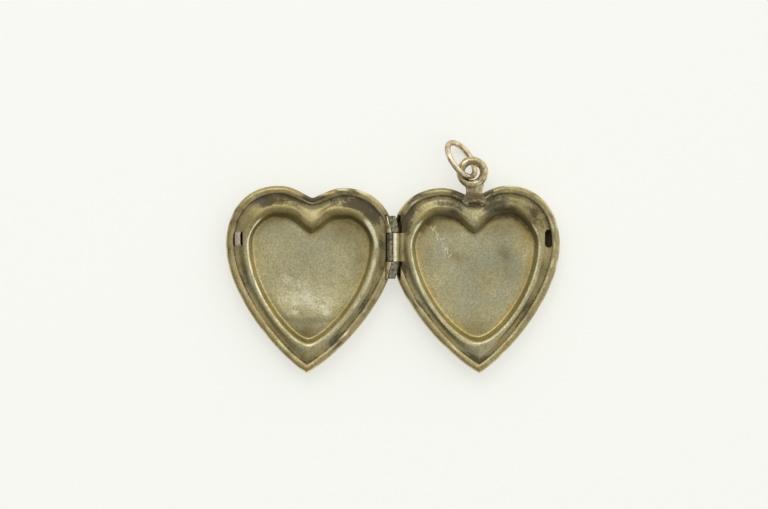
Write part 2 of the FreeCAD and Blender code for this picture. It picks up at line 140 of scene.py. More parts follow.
# The outer knuckles' free sides are filed off, and the front curls trimmed, along these lines.
FILED_INNER = (0.82, 2.20)
FILED_OUTER = (0.30, 4.14)
TRIM_INNER = (0.32, 1.93)
TRIM_OUTER = (0.86, 4.14)
STEM_X = 10.70
EYELET = Vector((10.45, 9.87, -0.12))
EYELET_RING_R = 1.54
EYELET_WIRE_R = 0.56
RING_R = 2.60
RING_WIRE_R = 0.37
RING_HEADING = math.radians(-54.9)
RING_TILT = math.radians(60.0)
RING_JOINT = 2.2                # where round the ring its soldered joint lies, in radians


# ---- Heart outlines ----

def unit(v):
    return v / np.hypot(*v)


def inner_normal(v):
    return np.array([v[1], -v[0]])


def half_heart(heart, inset=0.0):
    """Three cubic curves from cleft to tip, moved inwards by the same distance all round."""
    cleft_y, cleft_pull, cleft_lift = heart["cleft"]
    lobe_x, lobe_y, lobe_in, lobe_out = heart["lobe"]
    side_x, side_up, side_down = heart["side"]
    tip_y, tip_pull, tip_lift = heart["tip"]
    curves = np.array([
        [(0, cleft_y), (cleft_pull, cleft_y + cleft_lift), (lobe_x - lobe_in, lobe_y), (lobe_x, lobe_y)],
        [(lobe_x, lobe_y), (lobe_x + lobe_out, lobe_y), (side_x, side_up), (side_x, 0)],
        [(side_x, 0), (side_x, -side_down), (tip_pull, tip_y + tip_lift), (0, tip_y)],
    ], float)
    if inset == 0:
        return curves
    return np.array([inset_curve(curve, inset) for curve in curves])


def inset_curve(curve, inset):
    start_dir = unit(curve[1] - curve[0])
    end_dir = unit(curve[3] - curve[2])
    middle = (curve[0] + 3 * curve[1] + 3 * curve[2] + curve[3]) / 8
    middle_dir = unit(curve[3] + curve[2] - curve[1] - curve[0])

    def moved_end(point, direction):
        if abs(point[0]) < 1e-9:
            return point - np.array([0, inset / direction[0]])
        return point + inner_normal(direction) * inset

    start = moved_end(curve[0], start_dir)
    end = moved_end(curve[3], end_dir)
    cross = start_dir[0] * end_dir[1] - start_dir[1] * end_dir[0]
    if abs(cross) < 1e-6:
        change = inset * (curve[3][1] - curve[0][1]) / 1.5
        a = math.sqrt(((curve[1] - curve[0]) ** 2).sum() + change)
        b = math.sqrt(((curve[3] - curve[2]) ** 2).sum() - change)
    else:
        gap = (middle + inner_normal(middle_dir) * inset - (start + end) / 2) * 8 / 3
        a = (gap[0] * end_dir[1] - gap[1] * end_dir[0]) / cross
        b = (gap[0] * start_dir[1] - gap[1] * start_dir[0]) / cross
    return np.array([start, start + start_dir * a, end - end_dir * b, end])


def blend(first, second, share):
    return first * (1 - share) + second * share


def shrunk(half, scale, centre_y):
    centre = np.array([0, centre_y])
    return (half - centre) * scale + centre


def loop_points(half):
    """Points round the whole heart, in its own frame, starting at the cleft and going clockwise.
    They are spaced by length along the outline, and stand closer near the cleft and the tip."""
    t = np.linspace(0, 1, 90)[:, None]
    dense = np.vstack([(1 - t) ** 3 * curve[0] + 3 * (1 - t) ** 2 * t * curve[1]
                       + 3 * (1 - t) * t ** 2 * curve[2] + t ** 3 * curve[3] for curve in half])
    length = np.concatenate([[0], np.cumsum(np.hypot(*np.diff(dense, axis=0).T))])
    share = np.linspace(0, 1, HALF_STEPS + 1)
    share -= 0.09 * np.sin(2 * math.pi * share)
    right = np.stack([np.interp(share * length[-1], length, dense[:, axis]) for axis in (0, 1)], 1)
    left = right[1:-1][::-1] * (-1, 1)
    return np.vstack([right, left])


def stand(points, side):
    """From the heart's own frame to where that cover stands, in plan."""
    x, y = points[:, 0], points[:, 1]
    placed_x = x * math.cos(HEART_TILT) - y * math.sin(HEART_TILT) + HEART_AT[0]
    placed_y = x * math.sin(HEART_TILT) + y * math.cos(HEART_TILT) + HEART_AT[1]
    return np.stack([placed_x * SIDE_SIGN[side], placed_y], 1)


# ---- Meshes ----

def make_object(name, vertices, faces):
    """A mesh object standing on the hinge's middle, with its faces turned outwards."""
    mesh = bpy.data.meshes.new(name)
    mesh.from_pydata([tuple(v * MM) for v in vertices], [], faces)
    mesh.validate()
    bm = bmesh.new()
    bm.from_mesh(mesh)
    bmesh.ops.recalc_face_normals(bm, faces=bm.faces)
    bm.to_mesh(mesh)
    bm.free()
    obj = bpy.data.objects.new(name, mesh)
    obj.location = HINGE_AT
    bpy.context.scene.collection.objects.link(obj)
    return obj


def shade(obj, sharp_degrees=38):
    """Smooth shading with sharp edges kept."""
    limit = math.radians(sharp_degrees)
    bm = bmesh.new()
    bm.from_mesh(obj.data)
    for face in bm.faces:
        face.smooth = True
    for edge in bm.edges:
        edge.smooth = len(edge.link_faces) != 2 or edge.calc_face_angle(0) < limit
    bm.to_mesh(obj.data)
    bm.free()


def loop_faces(count, loops, capped=True):
    """Faces between successive loops of count points, with a flat face at each end."""
    a = np.arange(count)
    b = np.roll(a, -1)
    faces = []
    for loop in range(loops - 1):
        base = loop * count
        faces += list(zip(base + a, base + b, base + count + b, base + count + a))
    if capped:
        faces += [tuple(a), tuple((loops - 1) * count + a[::-1])]
    return faces


def ring_body(rings, side):
    """A closed skin through loops of (half heart, z, profile tag), with a fan at each end."""
    vertices = []
    tags = []
    for half, z, tag in rings:
        plan = stand(loop_points(half), side)
        vertices.append(np.column_stack([plan, np.full(len(plan), z)]))
        tags.append(np.full(len(plan), tag))
    count = len(vertices[0])
    first_centre = vertices[0].mean(0)
    last_centre = vertices[-1].mean(0)
    vertices = np.vstack(vertices + [first_centre, last_centre])
    tags = np.concatenate(tags + [[rings[0][2]], [rings[-1][2]]])
    faces = loop_faces(count, len(rings), capped=False)
    around = np.arange(count)
    after = np.roll(around, -1)
    top = len(rings) * count
    faces += [(top, b, a) for a, b in zip(around, after)]
    base = (len(rings) - 1) * count
    faces += [(top + 1, base + a, base + b) for a, b in zip(around, after)]
    return vertices, faces, tags


def cut(obj, cutter):
    """Takes the cutter out of the mesh, and removes the cutter."""
    modifier = obj.modifiers.new("cut", "BOOLEAN")
    modifier.operation = "DIFFERENCE"
    modifier.solver = "EXACT"
    modifier.object = cutter
    apply_modifiers(obj)
    bpy.data.objects.remove(cutter)


def apply_modifiers(obj):
    bpy.context.view_layer.update()
    depsgraph = bpy.context.evaluated_depsgraph_get()
    result = bpy.data.meshes.new_from_object(obj.evaluated_get(depsgraph))
    obj.modifiers.clear()
    old = obj.data
    obj.data = result
    bpy.data.meshes.remove(old)


def make_cutter(loops):
    """A closed cutter through two loops with the same number of points."""
    return make_object("cutter", np.vstack(loops), loop_faces(len(loops[0]), len(loops)))


def bar_cutter(radius, y0, y1, sides=96):
    """A round bar on the hinge axis."""
    angle = np.arange(sides) * 2 * math.pi / sides
    ring = np.column_stack([np.cos(angle) * radius, np.zeros(sides), np.sin(angle) * radius])
    return make_cutter([ring + (0, y0, 0), ring + (0, y1, 0)])


def plan_cutter(outline, z0, z1):
    """An upright cutter with the given outline in plan."""
    plan = np.array(outline, float)
    return make_cutter([np.column_stack([plan, np.full(len(plan), z)]) for z in (z0, z1)])


def block_cutter(x0, x1, y0, y1, z0, z1):
    return plan_cutter([(x0, y0), (x1, y0), (x1, y1), (x0, y1)], z0, z1)


def split_cutter(side):
    """Everything past the split between the two leaves."""
    sign = SIDE_SIGN[side]
    x0, x1 = sorted((-sign * 5, sign * SPLIT))
    return block_cutter(x0, x1, -30, 30, -6, 3)


def copy_tags(obj, vertices, tags):
    """Gives each vertex of a cut mesh the tag of the nearest vertex it was made from."""
    tree = KDTree(len(vertices))
    for index, vertex in enumerate(vertices):
        tree.insert(vertex * MM, index)
    tree.balance()
    nearest = [tree.find(v.co)[1] for v in obj.data.vertices]
    return tags[nearest]


def positions(obj):
    co = np.zeros(len(obj.data.vertices) * 3)
    obj.data.vertices.foreach_get("co", co)
    return co.reshape(-1, 3) / MM


def set_positions(obj, points):
    obj.data.vertices.foreach_set("co", (points * MM).ravel())
    obj.data.update()


def paint(obj, **masks):
    """Stores 0 to 1 masks on the mesh for its material to read. Each is one value or one a vertex."""
    for name, values in masks.items():
        attribute = obj.data.attributes.new(name, "FLOAT", "POINT")
        values = np.broadcast_to(np.clip(values, 0, 1), len(obj.data.vertices))
        attribute.data.foreach_set("value", values.astype(np.float32))


def bump_at(points, centre, width, height=None):
    """A soft round or oval spot in plan, 1 at its centre."""
    height = width if height is None else height
    return np.exp(-((points[:, 0] - centre[0]) / width) ** 2 - ((points[:, 1] - centre[1]) / height) ** 2)


WAVE_COUNT = 14


def waves(points, length, seed):
    """A smooth random field of about -1 to 1 with the given wavelength in mm."""
    draw = np.random.default_rng(seed)
    heading = draw.uniform(0, 2 * math.pi, WAVE_COUNT)
    lean = draw.uniform(-1, 1, WAVE_COUNT)
    pitch = 2 * math.pi / (length * draw.uniform(0.7, 1.5, WAVE_COUNT))
    phase = draw.uniform(0, 2 * math.pi, WAVE_COUNT)
    flat = np.sqrt(1 - lean ** 2)
    k = np.stack([np.cos(heading) * flat, np.sin(heading) * flat, lean]) * pitch
    return np.sin(points @ k + phase).sum(1) / math.sqrt(WAVE_COUNT / 2) / 1.6


def near(value, target, width):
    """1 where value is at its target, and fading within about width of it."""
    return np.exp(-((value - target) / width) ** 2)


def smooth(value, low, high):
    """0 below low, 1 above high, and smooth between."""
    t = np.clip((value - low) / (high - low), 0, 1)
    return t * t * (3 - 2 * t)


# ---- Covers ----

def cover_rings():
    """Profile of a cover: outer dome, rim, rolled lip, its underside, inner dome. The tag is the
    distance in from the rim on the lip, and negative on the dome and the inside."""
    centre_y = (RIM["cleft"][0] + RIM["tip"][0]) / 2
    flat = shrunk(half_heart(RIM), FLAT_SCALE, centre_y)

    def dome(sheet, steps):
        out = []
        for step in range(steps + 1):
            angle = math.pi / 2 * step / steps
            reach = sheet + (DOME_REACH - sheet) * (1 - math.cos(angle))
            z = RIM_Z - (DOME_DEPTH - sheet) * math.sin(angle)
            half = half_heart(RIM, min(reach, DOME_INSET))
            if reach > DOME_INSET:
                half = blend(half, flat, (reach - DOME_INSET) / (DOME_REACH - DOME_INSET))
            out.append((half, z, -1.0 - reach / DOME_REACH))
        return out

    rings = []
    for scale in (0.15, 0.4, 0.7):
        rings.append((shrunk(flat, scale, centre_y), RIM_Z - DOME_DEPTH, -2.0))
    rings += dome(0.0, 26)[::-1]
    for step in range(1, 15):
        angle = math.pi / 2 * step / 14
        inset = LIP_CREST * (1 - math.cos(angle))
        rings.append((half_heart(RIM, inset), RIM_Z + (CREST_Z - RIM_Z) * math.sin(angle), inset))
    for step in range(1, 10):
        angle = math.pi / 2 * step / 9
        inset = LIP_CREST + (LIP_MOUTH - LIP_CREST) * math.sin(angle)
        rings.append((half_heart(RIM, inset), CREST_Z - LIP_TURN * (1 - math.cos(angle)), inset))
    rings.append((half_heart(RIM, LIP_MOUTH), LIP_EDGE_Z, LIP_MOUTH))
    rings.append((half_heart(RIM, LIP_MOUTH - 0.01), LIP_UNDER_Z, LIP_MOUTH))
    rings.append((half_heart(RIM, LIP_THROAT), LIP_UNDER_Z, -3.0))
    rings += [(half, z, -3.0) for half, z, _ in dome(SHEET, 10)]
    rings.append((shrunk(flat, 0.3, centre_y), RIM_Z - DOME_DEPTH + SHEET, -3.0))
    return rings


def hinge_gutter(side):
    """The quarter-round wall behind the hinge channel."""
    outer = CHANNEL_R + GUTTER_SHEET
    start = math.asin((LINER_TOP_Z - LINER_SHEET - 0.02) / CHANNEL_R)
    end = -math.pi / 2 + math.asin(SPLIT / CHANNEL_R)
    angles = np.linspace(start, end, 14)
    lengths = np.linspace(-CHANNEL_HALF + GUTTER_SHORT, CHANNEL_HALF - GUTTER_SHORT, 12)
    section = [(math.cos(a) * CHANNEL_R, math.sin(a) * CHANNEL_R) for a in angles]
    section += [(math.cos(a) * outer, math.sin(a) * outer) for a in angles[::-1]]
    vertices = np.array([(x * SIDE_SIGN[side], y, z) for y in lengths for x, z in section])
    obj = make_object(side + "_hinge_channel", vertices, loop_faces(len(section), len(lengths)))
    # Painted shade: the wall is fully tarnished and filmed, so the channel reads dark behind the knuckles.
    paint(obj, tarnish=1.0, wear=0.0, film=1.0, cool=0.0)
    return obj


# Soft spots on the covers' lips: x, y, width, height, amount. The back's first two grime spots are painted
# shadow in the gaps beside the outer knuckles, and the lip rubs add painted highlight to the lip's bright
# band as well as wear.
LIP_GRIME_AND_SHADE = {
    "front": [(SADDLE_X, 6.6, 2.1, 1.5, 0.45)],
    "back": [(1.3, 3.6, 0.55, 0.8, 1.4), (1.0, -2.8, 0.5, 1.1, 0.6), (8.2, 6.6, 1.0, 0.8, 0.5),
             (13.6, 6.8, 1.0, 0.8, 0.4)],
}
LIP_RUB_AND_SHEEN = {"front": [(-5.2, -8.5, 3.0, 5.0, 0.3)], "back": [(20.5, -4.0, 3.0, 5.0, 0.3)]}
FRONT_RIM_RUB = [(-5.6, 7.4, 3.2, 1.6, 0.5)]


def cover(side):
    vertices, faces, tags = ring_body(cover_rings(), side)
    on_lip = tags > 0
    # The rolled edge is not quite even, and is nicked here and there.
    unevenness = waves(vertices, 2.4, 31 + SEED[side])
    dings = waves(vertices, 0.8, 33 + SEED[side])
    vertices[:, 2] += np.where(on_lip, 0.018 * unevenness + 0.010 * dings - 0.015, 0)
    vertices[:, 2] = np.where(on_lip, np.minimum(vertices[:, 2], -0.005), vertices[:, 2])
    dome = (tags < 0) & (tags > -2.5)
    vertices[:, 2] += np.where(dome, 0.012 * waves(vertices, 5.0, 35) * smooth(-tags, 1.05, 1.4), 0)
    if side == "front":
        saddle = smooth(-np.abs(vertices[:, 0] - SADDLE_X), -SADDLE_HALF, -0.8) * (vertices[:, 1] > 2)
        vertices[:, 2] -= np.where(on_lip & (tags > 0.2), 0.17 * saddle * smooth(tags, 0.2, 0.7), 0)
    obj = make_object(side + "_cover", vertices, faces)
    cut(obj, bar_cutter(CHANNEL_R, -CHANNEL_HALF, CHANNEL_HALF))
    cut(obj, split_cutter(side))
    if side == "back":
        cut(obj, block_cutter(LIP_NOTCH[0], LIP_NOTCH[1], 4.0, 12.0, LINER_TOP_Z + 0.01, 2.0))
    paint_cover(obj, side, copy_tags(obj, vertices, tags))
    return obj


def paint_cover(obj, side, tags):
    points = positions(obj)
    lip = np.clip(tags, 0, LIP_MOUTH)
    visible = tags > 0
    inside = tags < -2.5
    patches = waves(points, 5.5, 41 + SEED[side])
    north = smooth(points[:, 1], 0.5, 5.5)
    # Painted shade: the lip is darker towards the lobes, and in a thin line at its mouth, on top of its
    # grime.
    grime_and_shade = np.where(visible, 0.22 + 0.10 * north + 0.34 * near(lip, 1.05, 0.06), np.where(inside, 1.0, 0.26))
    grime_and_shade += patches * np.where(visible, 0.30, 0.15) + 0.12 * waves(points, 1.5, 45) * visible
    grime_and_shade += spots(points, LIP_GRIME_AND_SHADE[side])
    # Painted highlights: two bright bands along the lip, near its outer edge and on its inner shoulder, with
    # the rubs.
    wear = np.where(visible, 0.42 * near(lip, 0.72, 0.16) + 0.45 * near(lip, 0.12, 0.14), 0.12)
    wear += near(lip, 0.7, 0.3) * spots(points, LIP_RUB_AND_SHEEN[side]) * visible
    if side == "front":
        wear += near(lip, 0.25, 0.2) * spots(points, FRONT_RIM_RUB) * visible
    # The film is also darker towards the lobes: painted shade.
    paint(obj, tarnish=grime_and_shade, wear=wear * (0.95 + 0.75 * waves(points, 2.4, 43)),
          film=0.20 + 0.20 * north * visible + 0.15 * waves(points, 2.2, 44), cool=0.20 + 0.2 * patches)


# ---- Liners ----

def liner_rings(side):
    """Profile of a liner from the middle of its floor out to its edge, and back underneath.
    The tag runs 0 at the edge, 1 trough, 2 ridge, 3 foot of the wall, 4 middle of the floor."""
    ridge = RIDGE[side]
    foot = half_heart(FOOT[side])
    floor = shrunk(foot, FLOOR_SCALE, (RIM["cleft"][0] + RIM["tip"][0]) / 2)
    trough = half_heart(RIM, TROUGH_INSET)
    crest = half_heart(ridge)

    def wall_z(way):
        """Height of the recess wall: way runs 0 at the ridge, 0.5 at its foot, 1 on the floor."""
        if way > 0.5:
            return FLOOR_Z + (FOOT_Z - FLOOR_Z) * (2 - 2 * way) ** 9
        share = 2 * way
        return RIDGE_Z + (FOOT_Z - RIDGE_Z) * (0.35 * share ** 2 + 0.65 * share ** 3)

    top = []
    for step in range(1, 41):
        scale = (step / 40) ** 0.85
        top.append((shrunk(floor, scale, FLOOR_CENTRE_Y), FLOOR_Z, 4.0 - 0.6 * scale))
    for step in range(1, 12):
        share = 1 - (1 - step / 12) ** 2
        top.append((blend(floor, foot, share), wall_z(1 - share / 2), 3.4 - 0.4 * share))
    for step in range(0, 17):
        share = step / 16
        top.append((blend(foot, crest, share), wall_z((1 - share) / 2), 3 - share))
    for step in range(1, 15):
        share = step / 14
        z = RIDGE_Z + (TROUGH_Z - RIDGE_Z) * (0.14 * share ** 2 + 0.86 * smooth(share, 0.15, 1.0))
        top.append((blend(crest, trough, share), z, 2 - share))
    for step in range(1, 5):
        share = step / 4
        inset = TROUGH_INSET + (LINER_EDGE - TROUGH_INSET) * share
        z = TROUGH_Z + (LINER_TOP_Z - TROUGH_Z) * smooth(share, 0, 0.6)
        top.append((half_heart(RIM, inset), z, 1 - share))
    thick = LINER_SHEET
    under = [
        (half_heart(RIM, LINER_EDGE), LINER_TOP_Z - thick, -1.0),
        (trough, TROUGH_Z - thick, -1.0),
        (half_heart(ridge, -0.14), RIDGE_Z - thick - 0.02, -1.0),
        (half_heart(FOOT[side], -0.20), FOOT_Z - 0.4 * thick, -1.0),
        (floor, FLOOR_Z - thick, -1.0),
        (shrunk(floor, 0.4, FLOOR_CENTRE_Y), FLOOR_Z - thick, -1.0),
    ]
    return top + under


# Knocks in the recess floors: x, y, width, height, depth.
DENTS = {
    "front": [(-12.2, -9.0, 0.45, 0.36, 0.05), (-8.6, -9.1, 0.35, 0.28, 0.05), (-10.4, -7.4, 0.3, 0.24, 0.02),
              (-12.9, -7.8, 0.5, 0.40, -0.03), (-9.3, -7.6, 0.35, 0.28, 0.03)],
    "back": [(8.1, -1.3, 0.9, 0.9, 0.02), (13.9, -0.2, 1.2, 1.2, 0.02), (9.6, -9.0, 1.1, 1.1, 0.02)],
}


def dents(points, side):
    """Height of the waves and knocks in a recess floor."""
    lift = 0.016 * waves(points, 6.0, 51 + SEED[side]) + 0.004 * waves(points, 1.6, 53 + SEED[side])
    if side == "front":
        # The floor is dished towards the tip, and a pressed crease crosses it low down.
        lift += 0.30 * smooth(-points[:, 1], 4.6, 11.2) - 0.20 * smooth(-points[:, 1], 9.2, 10.1)
    return lift - spots(points, DENTS[side])


def liner(side):
    vertices, faces, tags = ring_body(liner_rings(side), side)
    vertices[:, 2] += dents(vertices, side) * smooth(tags, 3.0, 3.5)
    bead = (tags >= 0.2) & (tags < 3)
    vertices[:, 2] += np.where(bead, 0.012 * waves(vertices, 3.2, 61 + SEED[side]), 0)
    if side == "back":
        rough = solder_patch(vertices) * (tags > 0.5) * (tags < 3.05)
        lumps = 0.020 * waves(vertices, 0.7, 63) + 0.020 * waves(vertices, 0.32, 64)
        vertices[:, 2] += rough * (0.03 + lumps)
    obj = make_object(side + "_liner", vertices, faces)
    cut(obj, bar_cutter(CHANNEL_R, -CHANNEL_HALF, CHANNEL_HALF))
    if side == "back":
        cut(obj, bar_cutter(NOTCH_R, MIDDLE_HALF, CHANNEL_HALF))
        cut(obj, bar_cutter(NOTCH_R, -CHANNEL_HALF, -MIDDLE_HALF))
    cut(obj, split_cutter(side))
    cut(obj, slot_cutter(side))
    paint_liner(obj, side, copy_tags(obj, vertices, tags))
    return obj


def solder_patch(points):
    """Where the bail's solder has run over the back liner, 0 to 1."""
    return np.clip(bump_at(points, (10.9, 3.6), 1.9, 1.5) * 1.3 + 0.8 * bump_at(points, (13.2, 5.0), 1.6, 0.9)
                   + 0.8 * bump_at(points, (8.6, 4.6), 1.2, 0.8), 0, 1)


def slot_cutter(side):
    """The snap's slot: round-ended in the back liner, square round the tongue in the front one."""
    if side == "front":
        half, long = FRONT_SLOT[0] / 2, FRONT_SLOT[1] / 2
        return block_cutter(-SNAP_X - half, -SNAP_X + half, SNAP_Y - long, SNAP_Y + long, -0.9, 0.6)
    half, straight = BACK_SLOT[0] / 2, (BACK_SLOT[1] - BACK_SLOT[0]) / 2
    outline = []
    for start, shift in ((0, straight), (math.pi, -straight)):
        for angle in start + np.linspace(0, math.pi, 13):
            outline.append((BACK_SLOT_X + half * math.cos(angle), SNAP_Y + half * math.sin(angle) + shift))
    return plan_cutter(outline, -0.9, 0.6)


def spots(points, places):
    """Sum of soft spots: each place is (x, y, width, height, amount)."""
    return sum(amount * bump_at(points, (x, y), width, height) for x, y, width, height, amount in places)


def paint_liner(obj, side, tags):
    points = positions(obj)
    low = smooth(-points[:, 1], 2.5, 6.5)
    flange = smooth(tags, -0.1, 0.2) * (1 - smooth(tags, 1.45 - 0.5 * low, 1.95 - 0.6 * low))
    wall = near(tags, 2.65, 0.30)
    hinge_side = smooth(HEART_AT[0] - np.abs(points[:, 0]), -1.0, 2.0)
    lean = 0.3 - 1.1 * low * hinge_side
    if side == "front":
        lean = np.clip((-HEART_AT[0] - points[:, 0]) / 6, -1, 1)
    crest = near(tags, 2.10 + 0.22 * lean, 0.24)
    floor = smooth(tags, 2.95, 3.15)
    foot = near(tags, 3.0, 0.16)
    north = smooth(points[:, 1], -1.5, 4.0)
    # Painted shade on the crest under the lobes.
    shade_under_lobes = near(tags, 2.15, 0.45) * north
    beside_foot = (1 - smooth(tags, 3.0, 3.38)) * (tags > 2.95)
    patches = waves(points, 4.5, 71 + SEED[side])
    small = waves(points, 1.8, 73 + SEED[side])
    # Tarnish on the flange, and painted shade in a dark line at the gap under the cover's lip.
    grime_and_shade = flange * (0.36 + 0.14 * patches + 0.08 * small) + 0.30 * near(tags, 0.45, 0.18)
    # Painted shade towards the lobes: on the wall, along its foot and on the floor beside the foot.
    lobe_shade = north * (0.5 if side == "front" else 1.0)
    grime_and_shade += wall * 0.08 * north + foot * (0.03 + 0.34 * lobe_shade)
    grime_and_shade += shade_under_lobes * (0.18 if side == "front" else 0.26) + 0.28 * beside_foot * lobe_shade
    grime_and_shade += floor * (0.10 + 0.05 * patches)
    sides = 1 - smooth(points[:, 1], 2.8, 4.8)
    cleft = bump_at(points, (SIDE_SIGN[side] * HEART_AT[0], 2.9), 2.4, 2.2)
    # Rubbed wear and painted highlight on the crest: lean moves the bright line onto the shoulder that faces
    # the light, and it is kept off the lobes and the cleft.
    wear = (1.0 - 0.35 * low) * (1 - cleft) * sides * crest * (0.85 + 0.35 * small)
    shaded = 0.15 if side == "back" else 0.60
    # The film adds painted shade on the recess wall at the lows and towards the lobes, and on the crest under
    # the lobes.
    film = 0.12 + 0.60 * flange + wall * (0.04 + 0.50 * low + shaded * north) + 1.0 * shade_under_lobes
    solder = solder_patch(points) * (tags < 3.1) * (side == "back")
    spot_zone = flange if side == "front" else smooth(tags, -0.1, 0.2) * (1 - smooth(tags, 2.6, 3.0))
    # The floor film spots darken the floors: painted shade, mostly towards the lobes, and film.
    floor_film = spots(points, FLOOR_FILM_AND_SHADE[side])
    # The tarnish spots include painted shadow beside the back's outer knuckles.
    grime_and_shade += spot_zone * spots(points, TARNISH_AND_SHADE_SPOTS[side]) + floor * 0.25 * floor_film - 0.10 * solder
    # Painted reflection: bright patches on the floors; on the front they stop at the pressed crease.
    rub_and_sheen = spots(points, FLOOR_SHEEN[side])
    if side == "front":
        fold = -9.15 + 0.020 * (points[:, 0] + 10.5) ** 2 + 0.05 * waves(points, 1.2, 76)
        rub_and_sheen = rub_and_sheen * smooth(points[:, 1], fold - 0.12, fold + 0.12)
    ochre = floor * (1 - smooth(tags, 3.10, 3.55)) * (1 - 0.6 * north) * (0.8 + 0.5 * small)
    paint(obj, tarnish=grime_and_shade, wear=wear + floor * rub_and_sheen * (0.85 + 0.30 * small),
          film=film * (1 - floor) + floor * (floor_film + beside_foot * (0.06 + 0.85 * lobe_shade)),
          cool=0.20 + 0.20 * patches + floor * spots(points, FLOOR_COOL[side]) + 2.2 * solder,
          ochre=ochre * (0.45 if side == "front" else 0.95))


# Soft spots on the liners: x, y, width, height, amount. Some tarnish spots are painted shadow, the floor film
# spots are painted shade as well as film, and the floor sheen spots are painted reflection.
TARNISH_AND_SHADE_SPOTS = {
    "front": [(-4.6, 5.5, 1.9, 1.0, 0.62), (-2.9, 4.4, 1.1, 1.1, 0.50), (-7.4, 6.3, 1.8, 0.8, 0.30),
              (-16.4, 6.1, 2.2, 0.8, 0.42), (-13.0, 6.9, 1.8, 0.6, 0.26), (-7.8, -11.4, 1.3, 1.9, 0.34),
              (-16.8, -8.6, 1.2, 3.0, -0.16), (-4.2, -6.6, 1.3, 1.8, 0.42), (-10.9, -14.6, 1.6, 1.2, 0.20),
              (-19.7, -2.6, 0.7, 1.6, 0.10), (-1.9, 0.0, 0.8, 2.4, 0.12)],
    # The second and third back spots are painted shadow in the gaps beside the outer knuckles.
    "back": [(2.0, 4.6, 0.9, 1.0, 0.60), (1.4, 3.2, 0.42, 1.1, 1.40), (1.3, -3.0, 0.40, 1.0, 1.00),
             (13.8, 5.1, 2.4, 0.9, 0.66), (18.4, 3.6, 1.0, 1.6, 0.40), (8.2, 4.7, 1.2, 0.8, 0.52),
             (17.4, -7.4, 0.8, 1.9, 0.26), (10.9, -14.8, 1.6, 1.2, 0.30), (5.4, -9.2, 1.4, 3.2, -0.22),
             (10.7, 5.67, 1.1, 0.35, 0.60), (14.6, -12.0, 1.2, 2.0, -0.12), (2.6, 1.4, 0.8, 2.0, 0.14)],
}
FLOOR_FILM_AND_SHADE = {
    "front": [(-6.6, 2.6, 2.6, 2.2, 0.65), (-4.2, -1.5, 1.4, 3.5, 0.50), (-15.5, 3.0, 2.8, 1.8, 0.34),
              (-11.0, -11.4, 2.4, 1.5, 0.75), (-11.0, -1.0, 4.0, 2.6, 0.15)],
    "back": [(14.6, 2.9, 3.4, 1.6, 0.60), (6.6, 2.9, 2.4, 1.4, 0.65), (8.4, -1.4, 1.2, 0.9, 0.42),
             (14.8, -0.6, 1.1, 1.1, 0.60), (15.6, -3.4, 2.0, 2.2, 0.40), (11.0, -11.0, 2.4, 1.6, 0.45),
             (11.4, -3.0, 3.4, 4.0, 0.30), (4.4, -1.0, 0.9, 2.6, 0.30), (17.6, 1.4, 0.9, 1.6, 0.20)],
}
FLOOR_COOL = {
    "front": [(-10.5, -1.0, 4.0, 3.2, 0.5), (-13.5, 1.5, 2.6, 2.0, 0.3)],
    "back": [(11.5, -3.4, 3.8, 4.6, 1.6), (8.5, -0.6, 3.0, 2.0, 0.9), (14.0, -1.0, 2.2, 2.0, 0.8)],
}
FLOOR_SHEEN = {
    "front": [(-12.4, -7.0, 3.2, 1.9, 0.62), (-9.2, -7.8, 1.6, 1.4, 0.60), (-14.4, -4.6, 2.0, 1.8, 0.40),
              (-10.0, -5.0, 3.5, 1.6, 0.30), (-8.7, -8.8, 0.5, 0.4, 0.60), (-12.8, -8.6, 1.0, 0.4, 0.35)],
    "back": [(6.2, -4.0, 1.4, 2.4, 0.35), (11.2, -7.4, 2.8, 1.4, 0.25), (15.4, -5.6, 0.9, 2.2, 0.20),
             (17.3, -0.8, 0.8, 2.6, 0.45)],
}


# ---- Hinge ----

CURL_FLAT = (1.75, 1.62, 1.52)
CURL_FILLET = ((1.42, -0.342), (1.28, -0.310), (1.16, -0.245), (1.06, -0.150))
CURL_HIDDEN = 28                # points of a curl's section from here on face its knuckle


def curl_section(end_x):
    """Section of a curl, from its flat strip over the top and back underneath. end_x is how far from
    the hinge axis its rounded edge lies, in plan."""
    last = math.acos(min(end_x, CURL_R * 0.985) / CURL_R)
    first = math.asin(-0.05 / CURL_R)
    section = [(x, LINER_TOP_Z + 0.004) for x in CURL_FLAT] + list(CURL_FILLET)
    for angle in np.linspace(first, last, 15):
        section.append((CURL_R * math.cos(angle), CURL_R * math.sin(angle)))
    middle = (CURL_R + CURL_INNER_R) / 2
    half = (CURL_R - CURL_INNER_R) / 2
    for step in range(1, 8):
        turn = math.pi * step / 8
        angle = last + math.sin(turn) * half / CURL_R
        radius = middle + math.cos(turn) * half
        section.append((radius * math.cos(angle), radius * math.sin(angle)))
    for angle in np.linspace(last, math.asin(-0.55 / CURL_INNER_R), 8):
        section.append((CURL_INNER_R * math.cos(angle), CURL_INNER_R * math.sin(angle)))
    under_z = LINER_TOP_Z - LINER_SHEET
    return section + [(1.0, under_z), (1.75, under_z + 0.01)]


